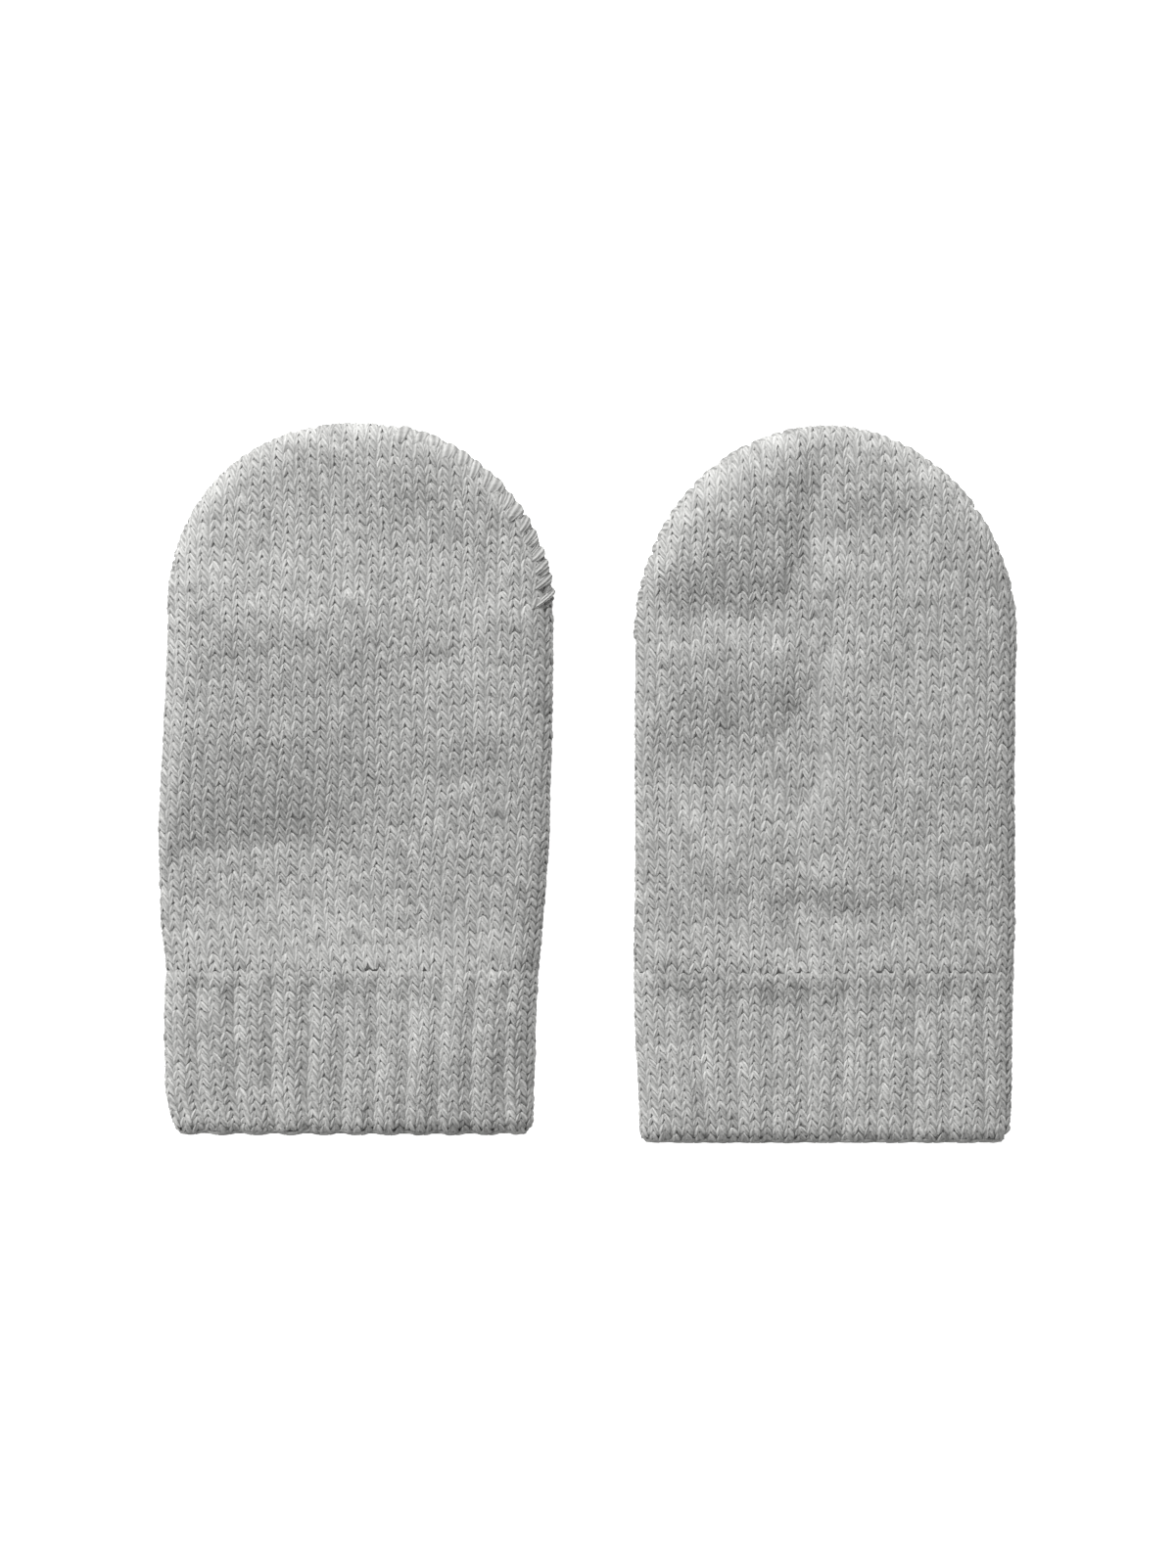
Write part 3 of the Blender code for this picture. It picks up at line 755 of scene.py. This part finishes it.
def outline_point(mitten, turn, spread):
    """Point of the flat outline round the tip and the way out of it, at turns in degrees.

    Turns below 0 go down the straight side that the seam starts on.
    """
    middle, half_width, length = tip_shape(mitten, spread)
    angle = np.radians(np.maximum(turn, 0.0))
    power = mitten.squareness
    cosine, sine = np.cos(angle), np.sin(angle)
    scale = (np.abs(cosine) ** power + sine ** power) ** (-1.0 / power)
    p, q = cosine * scale, sine * scale
    out = np.stack([np.sign(p) * np.abs(p) ** (power - 1.0) / half_width,
                    q ** (power - 1.0) / length], -1)
    out = out / np.linalg.norm(out, axis=-1, keepdims=True)
    out[..., 0] *= mitten.seam_from
    y = mitten.tip_start_y + length * q + np.radians(np.minimum(turn, 0.0)) * half_width
    x = middle + lean_at(mitten, y) + mitten.seam_from * half_width * p
    point = np.stack([x, y], -1)
    return point, out


def wrap_stitches(mitten, wrap, strand, rounding, random):
    """Overcast stitches over the outline: each strand runs from the front, over the edge
    and onto the back, with both ends sunk in the cloth.

    A strand leans by `lean` degrees from the straight way over the edge where the seam
    starts, by nothing two thirds of the way to the top, and the other way beyond.
    """
    _, half_width, _ = tip_shape(mitten, rounding.spread)
    step = math.degrees(wrap.pitch / half_width)
    turns = np.arange(wrap.first_turn, wrap.last_turn, step)
    turns = turns + 0.10 * step * random.normal(size=len(turns))
    count = len(turns)
    s = np.linspace(-1.0, 1.0, strand.rings + 2)[None, :]
    inside = wrap.inside * (1.0 + 0.12 * random.normal(size=(count, 1)))
    distance = 0.5 * ((inside - wrap.outside) - (inside + wrap.outside) * s)
    lean = wrap.lean * (1.0 - turns / WRAP_TURN) + 7.0 * random.normal(size=count)
    lean = np.radians(np.clip(lean, -25.0, 55.0))[:, None]
    along = -np.tan(lean) * distance / half_width
    point, out = outline_point(mitten, turns[:, None] + np.degrees(along), rounding.spread)
    lift = (wrap.lift + WRAP_SINK) * (1.0 - s ** 4) - WRAP_SINK
    lift = lift * np.ones((count, 1))
    line = np.concatenate([point - out * distance[..., None], lift[..., None]], -1)
    tangent = np.stack([-out[:, 0, 1], out[:, 0, 0], np.zeros(count)], -1)
    across = tangent * np.cos(lean) + np.sin(lean) * np.stack(
        [out[:, 0, 0], out[:, 0, 1], np.zeros(count)], -1)
    size = wrap.radius * (1.0 + 0.10 * random.normal(size=(count, 1)))
    radius = size * np.sqrt(1.0 - 0.8 * s ** 4)
    flat = tube_points(strand, line, across, np.array([0.0, 0.0, 0.5]), radius)
    laid = lay_lifted(mitten, FRONT, rounding, flat[..., 0], flat[..., 1], flat[..., 2])
    # The row's tone is painted shade; the random part is the melange's own tone.
    return *laid, wrap.tone + 0.6 * random.normal(size=count)


# ---------------------------------------------------------------- cloth

def pattern_grid(mitten, spread, first_y, last_y, rows, columns, tip_rows):
    """Grid over one face of the flat pattern: straight rows, then the round tip if
    tip_rows is not 0, drawn from a square by u * sqrt(1 - v^2 / 2)."""
    u = np.sin(np.linspace(-0.5 * math.pi, 0.5 * math.pi, columns))
    y = np.linspace(first_y, last_y, rows)
    left, right = edges_at(mitten, y)
    half = 0.5 * (right - left) + spread
    x = 0.5 * (left + right)[:, None] + half[:, None] * u[None, :]
    y = np.broadcast_to(y[:, None], x.shape)
    if tip_rows == 0:
        return x, y
    middle, half_width, length = tip_shape(mitten, spread)
    v = np.sin(np.linspace(0.0, 0.5 * math.pi, tip_rows + 1))[1:]
    p = u[None, :] * np.sqrt(1.0 - 0.5 * v[:, None] ** 2)
    q = v[:, None] * np.sqrt(1.0 - 0.5 * u[None, :] ** 2)
    angle = np.arctan2(q, p)
    power = mitten.squareness
    scale = (np.abs(np.cos(angle)) ** power + np.abs(np.sin(angle)) ** power) ** (-1.0 / power)
    tip_y = mitten.tip_start_y + length * q * scale
    tip_x = middle + lean_at(mitten, tip_y) + half_width * p * scale
    return np.concatenate([x, tip_x]), np.concatenate([y, tip_y])


def cloth_faces(mitten, rounding, x, y):
    """Outer and inner points of the cloth on both faces over one flat grid.

    The outer face lies under the stitches. The inner one turns at a crease inside the
    outline, and leaves the soft room between the layers.
    """
    under = np.full(x.shape, -CLOTH_DEPTH)
    outer = [lay_lifted(mitten, face, rounding, x, y, under)[0] for face in (FRONT, BACK)]
    distance, out_x, out_y = flat_distance(mitten, x, y, rounding.spread)
    distance = np.maximum(distance, 0.0)
    inset = np.maximum(CREASE_INSET + 0.35 * distance, distance - rounding.spread)
    shift = distance - rounding.spread - inset
    inner_x, inner_y = x + out_x * shift, y + out_y * shift
    half_gap = HALF_GAP * smooth(distance / MM)
    room = layer_room(mitten, inner_x, inner_y, inset) * smooth(distance / (2.0 * MM))
    inner = [np.stack([inner_x, inner_y, PARTING + half_gap + room], -1),
             np.stack([inner_x, inner_y, PARTING - half_gap], -1)]
    return outer, inner


def cloth_tube(name, mitten, rounding, grid, closed_tip, material):
    """Closed shell of one knitted tube: outer and inner faces that front and back share
    at the outline, joined at the open ends."""
    x, y = grid
    rows, columns = x.shape
    outer, inner = cloth_faces(mitten, rounding, x, y)
    points = np.concatenate([part.reshape(-1, 3) for part in outer + inner])
    size = rows * columns
    index = np.arange(size).reshape(rows, columns)
    rim = np.zeros((rows, columns), bool)
    rim[:, [0, -1]] = True
    rim[-1] |= closed_tip
    front, back = index, np.where(rim, index, index + size)
    front_inner, back_inner = front + 2 * size, np.where(rim, index, index + size) + 2 * size
    faces = [grid_faces(front), grid_faces(back)[:, ::-1],
             grid_faces(front_inner)[:, ::-1], grid_faces(back_inner)]
    for row, flipped in ((0, False),) if closed_tip else ((0, False), (-1, True)):
        for outside, inside, turned in ((front, front_inner, flipped),
                                        (back, back_inner, not flipped)):
            strip = grid_faces(np.stack([inside[row], outside[row]]))
            faces.append(strip[:, ::-1] if turned else strip)
    faces = np.concatenate(faces)
    used, corners = np.unique(faces, return_inverse=True)
    return mesh_piece(name, points[used], corners.reshape(-1), np.full(len(faces), 4), material)


def grid_faces(index):
    """Four-cornered faces over a grid of point numbers."""
    quads = np.stack([index[:-1, :-1], index[:-1, 1:], index[1:, 1:], index[1:, :-1]], -1)
    return quads.reshape(-1, 4)


# ---------------------------------------------------------------- materials

def link(tree, source, output, target, socket):
    """Joins an output of one node to an input of another."""
    tree.links.new(source.outputs[output], target.inputs[socket])


def new_material(name, roughness, sheen):
    """Material with its Principled shader and node tree, for soft matt yarn."""
    material = bpy.data.materials.new(name)
    material.use_nodes = True
    tree = material.node_tree
    shader = tree.nodes["Principled BSDF"]
    shader.inputs["Roughness"].default_value = roughness
    shader.inputs["Specular IOR Level"].default_value = 0.25
    shader.inputs["Sheen Weight"].default_value = sheen
    shader.inputs["Sheen Roughness"].default_value = 0.5
    return material, tree, shader


def noise(tree, vector, scale, detail=2.0):
    """Noise texture read at a vector's output."""
    node = tree.nodes.new("ShaderNodeTexNoise")
    node.inputs["Scale"].default_value = scale
    node.inputs["Detail"].default_value = detail
    tree.links.new(vector, node.inputs["Vector"])
    return node.outputs["Fac"]


def math_node(tree, operation, first, second):
    """Math node of two values, each a number or another node's output."""
    node = tree.nodes.new("ShaderNodeMath")
    node.operation = operation
    for socket, value in zip(node.inputs, (first, second)):
        if isinstance(value, (int, float)):
            socket.default_value = value
        else:
            tree.links.new(value, socket)
    return node.outputs[0]


def yarn_material(name, yarn, plies=3.0, painted_ply_light=0.16):
    """Melange yarn: tone from the stitch, fine flecks, soft clouds and the twist of its plies.

    Their weighted sum sets the mix of dark and light fibre; the twist's share of it is painted highlights
    and shade along the plies, whose bump the twist also sets. The twist is a sine over the yarn's length
    and its turn, so it winds round the yarn.
    """
    material, tree, shader = new_material(name, 0.85, yarn.sheen)
    place = tree.nodes.new("ShaderNodeTexCoord").outputs["Object"]
    run = tree.nodes.new("ShaderNodeUVMap")
    run.uv_map = "Yarn"
    parts = tree.nodes.new("ShaderNodeSeparateXYZ")
    tree.links.new(run.outputs["UV"], parts.inputs[0])
    tone = tree.nodes.new("ShaderNodeAttribute")
    tone.attribute_name = "tone"
    full_turn, lead = 2.0 * math.pi, 14.0
    wound = math_node(tree, "MULTIPLY", parts.outputs["X"], full_turn * plies / lead)
    round_it = math_node(tree, "MULTIPLY", parts.outputs["Y"], full_turn * plies)
    twist = math_node(tree, "SINE", math_node(tree, "ADD", wound, round_it), 0.0)
    fleck = math_node(tree, "SUBTRACT", noise(tree, place, 1500.0, 3.0), 0.5)
    cloud = math_node(tree, "SUBTRACT", noise(tree, place, 260.0, 2.0), 0.5)
    level = 0.36
    # The twist's weight paints highlights and shade along the plies into the colour.
    for part, weight in ((tone.outputs["Fac"], 0.10), (fleck, 0.42), (cloud, 0.35),
                         (twist, painted_ply_light)):
        level = math_node(tree, "ADD", math_node(tree, "MULTIPLY", part, weight), level)
    ramp = tree.nodes.new("ShaderNodeValToRGB")
    ramp.color_ramp.elements[0].color = (*yarn.dark, 1.0)
    ramp.color_ramp.elements[1].color = (*yarn.light, 1.0)
    tree.links.new(level, ramp.inputs["Fac"])
    link(tree, ramp, "Color", shader, "Base Color")
    height = math_node(tree, "ADD", twist, math_node(tree, "MULTIPLY", fleck, 3.0))
    bump = tree.nodes.new("ShaderNodeBump")
    bump.inputs["Strength"].default_value = 0.8
    bump.inputs["Distance"].default_value = 0.06 * MM
    tree.links.new(height, bump.inputs["Height"])
    link(tree, bump, "Normal", shader, "Normal")
    return material


def seam_material(name, yarn):
    """The same yarn taken several times, so that more plies show, with stronger painted highlights and
    shade along them.
    """
    return yarn_material(name, yarn, plies=5.0, painted_ply_light=0.24)


def gap_shade_material(name, yarn):
    """Cloth deep between the stitches, with a fine knitted grain; its darker colour is painted shade
    between the stitches.
    """
    material, tree, shader = new_material(name, 0.95, 0.1)
    place = tree.nodes.new("ShaderNodeTexCoord").outputs["Object"]
    ramp = tree.nodes.new("ShaderNodeValToRGB")
    # Darker and lighter ends of the painted shade between the stitches, mixed by the grain.
    ramp.color_ramp.elements[0].color = (*[0.75 * value for value in yarn.gap_shade], 1.0)
    ramp.color_ramp.elements[1].color = (*[1.3 * value for value in yarn.gap_shade], 1.0)
    grain = noise(tree, place, 900.0, 3.0)
    tree.links.new(grain, ramp.inputs["Fac"])
    link(tree, ramp, "Color", shader, "Base Color")
    bump = tree.nodes.new("ShaderNodeBump")
    bump.inputs["Distance"].default_value = 0.1 * MM
    tree.links.new(grain, bump.inputs["Height"])
    link(tree, bump, "Normal", shader, "Normal")
    return material


def shared_material(name, make, settings):
    """The material of that name, made once."""
    return bpy.data.materials.get(name) or make(name, settings)


# ---------------------------------------------------------------- operators

def place_piece(piece, nodes=()):
    """Puts a finished piece on the root body, and hides the solids of the nodes it stands for."""
    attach(piece, "root")
    if nodes:
        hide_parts(*nodes)


def yarn_piece(name, strand, made, length, softness, fuzz, material):
    """Piece of many strands from their laid points, cloth normals and tones."""
    points, normals, tones = made
    piece = strand.piece(name, points, np.full(len(points), length), tones, material)
    soften(piece, normals, softness, fuzz)
    return piece


def knitting(context, name, make):
    """Sizes of the stitches, the rounding that they give, and the material of that name."""
    knit = context.scene.mitten_knit
    return knit, Rounding(knit), shared_material(name, make, context.scene.mitten_yarn)


def joined_arrays(made):
    """Points, normals and tones of several sets of strands, each joined in one array."""
    return [np.concatenate(part) for part in zip(*made)]


class MITTENS_OT_stitches(bpy.types.Operator):
    """Knits the stitches of both faces of every hand and cuff"""
    bl_idname = "mittens.stitches"
    bl_label = "Knit the stitches"

    def execute(self, context):
        knit, rounding, material = knitting(context, "grey melange yarn", yarn_material)
        for mitten in MITTENS:
            for part, slot in (("hand", "hand_knit"), ("cuff", "cuff_rib")):
                for face, title in ((FRONT, "front"), (BACK, "back")):
                    strand = Strand(4, 5) if face == FRONT else Strand(3, 4)
                    made = stitch_legs(knit, mitten, face, part, strand, rounding)
                    piece = yarn_piece(f"{mitten.name}_{part}_{title}_stitches", strand, made,
                                       LEG_STRETCH * knit.leg_half, knit.softness,
                                       knit.fuzz, material)
                    place_piece(piece)
        return {"FINISHED"}


class MITTENS_OT_hems(bpy.types.Operator):
    """Adds the cast-on edge round the mouth of each cuff"""
    bl_idname = "mittens.hems"
    bl_label = "Cast on the hems"

    def execute(self, context):
        knit, rounding, material = knitting(context, "grey melange yarn", yarn_material)
        strand = Strand(5, 6)
        for mitten in MITTENS:
            made = [hem_chain(knit, mitten, face, strand, rounding) for face in (FRONT, BACK)]
            piece = yarn_piece(f"{mitten.name}_hem_chain", strand, joined_arrays(made),
                               HEM_LINK_LENGTH, knit.softness, knit.fuzz, material)
            place_piece(piece)
        return {"FINISHED"}


class MITTENS_OT_seams(bpy.types.Operator):
    """Sews the overcast stitches that close each round tip"""
    bl_idname = "mittens.seams"
    bl_label = "Sew the tips"

    def execute(self, context):
        knit, rounding, material = knitting(context, "grey seam yarn", seam_material)
        strand = Strand(11, 8)
        for mitten in MITTENS:
            random = draw(mitten, 9)
            made = [wrap_stitches(mitten, wrap, strand, rounding, random)
                    for wrap in mitten.wraps]
            piece = yarn_piece(f"{mitten.name}_tip_seam", strand, joined_arrays(made),
                               WRAP_LENGTH, 0.6, 1.6 * knit.fuzz, material)
            place_piece(piece, [f"{mitten.name}_seam"])
        return {"FINISHED"}


class MITTENS_OT_cloth(bpy.types.Operator):
    bl_idname = "mittens.cloth"
    bl_label = "Make the cloth"

    def execute(self, context):
        _, rounding, material = knitting(context, "knitted ground", gap_shade_material)
        for mitten in MITTENS:
            name = mitten.name
            spread = rounding.spread
            grid = pattern_grid(mitten, spread, mitten.cuff_top_y, mitten.tip_start_y, 40, 49, 28)
            hand = cloth_tube(f"{name}_hand_cloth", mitten, rounding, grid, True, material)
            place_piece(hand, [f"{name}_hand_front", f"{name}_hand_back"])
            grid = pattern_grid(mitten, spread, mitten.hem_y, mitten.cuff_top_y - 0.1 * MM,
                                24, 111, 0)
            cuff = cloth_tube(f"{name}_cuff_cloth", mitten, rounding, grid, False, material)
            place_piece(cuff, [f"{name}_cuff_front", f"{name}_cuff_back"])
            self.declare(mitten, spread, hand, cuff)
        return {"FINISHED"}

    @staticmethod
    def declare(mitten, spread, hand, cuff):
        """Does nothing: the cut of each tube is not stated here."""


class MITTENS_OT_stage(bpy.types.Operator):
    """Adds the pale floor, the soft light and the camera straight above"""
    bl_idname = "mittens.stage"
    bl_label = "Set the stage"

    def execute(self, context):
        stage = context.scene.mitten_stage
        self.floor(stage)
        self.lights(context, stage)
        self.camera(context, stage)
        context.scene.view_settings.view_transform = "Standard"
        return {"FINISHED"}

    @staticmethod
    def floor(stage):
        """Plain floor just under the mittens."""
        half, depth = FLOOR_HALF, FLOOR_DEPTH
        corners = np.array([[-half, -half, -depth], [half, -half, -depth],
                            [half, half, -depth], [-half, half, -depth]])
        material = bpy.data.materials.new("pale floor")
        material.use_nodes = True
        shader = material.node_tree.nodes["Principled BSDF"]
        shader.inputs["Base Color"].default_value = (*stage.floor, 1.0)
        shader.inputs["Roughness"].default_value = 0.9
        shader.inputs["Specular IOR Level"].default_value = 0.1
        shader.inputs["Emission Color"].default_value = (1.0, 1.0, 1.0, 1.0)
        shader.inputs["Emission Strength"].default_value = stage.floor_glow
        floor = mesh_piece("floor", corners, np.arange(4), np.array([4]), material)

    @staticmethod
    def lights(context, stage):
        """Large soft light from the upper left and even light from the sky."""
        data = bpy.data.lights.new("key", "AREA")
        data.shape = "DISK"
        data.size = KEY_SIZE
        data.energy = stage.key_power
        key = bpy.data.objects.new("key", data)
        flat = KEY_DISTANCE * math.cos(stage.key_elevation)
        key.location = (-flat * math.sin(stage.key_side), flat * math.cos(stage.key_side),
                        KEY_DISTANCE * math.sin(stage.key_elevation))
        key.rotation_euler = (-key.location).to_track_quat("-Z", "Y").to_euler()
        context.scene.collection.objects.link(key)
        world = bpy.data.worlds.new("even light")
        world.use_nodes = True
        background = world.node_tree.nodes["Background"]
        background.inputs["Color"].default_value = (1.0, 1.0, 1.0, 1.0)
        background.inputs["Strength"].default_value = stage.sky
        context.scene.world = world

    @staticmethod
    def camera(context, stage):
        """Camera straight above, framed in the plane where the outline is widest."""
        data = bpy.data.cameras.new("camera")
        data.lens = stage.lens
        data.sensor_width = 36.0
        camera = bpy.data.objects.new("camera", data)
        distance = stage.field_height * data.lens / data.sensor_width
        camera.location = (0.0, 0.0, PARTING + distance)
        context.scene.collection.objects.link(camera)
        context.scene.camera = camera


class MITTENS_PT_panel(bpy.types.Panel):
    """Lists the steps and settings of the mittens"""
    bl_idname = "MITTENS_PT_panel"
    bl_label = "Baby mittens"
    bl_space_type = "VIEW_3D"
    bl_region_type = "UI"
    bl_category = "Mittens"

    def draw(self, context):
        layout = self.layout
        for operator in OPERATORS:
            layout.operator(operator.bl_idname)
        for settings in (context.scene.mitten_knit, context.scene.mitten_yarn,
                         context.scene.mitten_stage):
            box = layout.box()
            for name in settings.bl_rna.properties.keys():
                if name not in {"rna_type", "name"}:
                    box.prop(settings, name)


OPERATORS = (MITTENS_OT_stitches, MITTENS_OT_hems, MITTENS_OT_seams, MITTENS_OT_cloth,
             MITTENS_OT_stage)
SETTINGS = (("mitten_knit", KnitSettings), ("mitten_yarn", YarnSettings),
            ("mitten_stage", StageSettings))


def register():
    for _, group in SETTINGS:
        bpy.utils.register_class(group)
    for name, group in SETTINGS:
        setattr(bpy.types.Scene, name, bpy.props.PointerProperty(type=group))
    for operator in OPERATORS:
        bpy.utils.register_class(operator)
    bpy.utils.register_class(MITTENS_PT_panel)


def unregister():
    bpy.utils.unregister_class(MITTENS_PT_panel)
    for operator in reversed(OPERATORS):
        bpy.utils.unregister_class(operator)
    for name, group in reversed(SETTINGS):
        delattr(bpy.types.Scene, name)
        bpy.utils.unregister_class(group)


def main():
    """Makes every piece in order."""
    register()
    bpy.ops.mittens.stitches()
    bpy.ops.mittens.hems()
    bpy.ops.mittens.seams()
    bpy.ops.mittens.cloth()
    bpy.ops.mittens.stage()


if __name__ == "__main__":
    main()
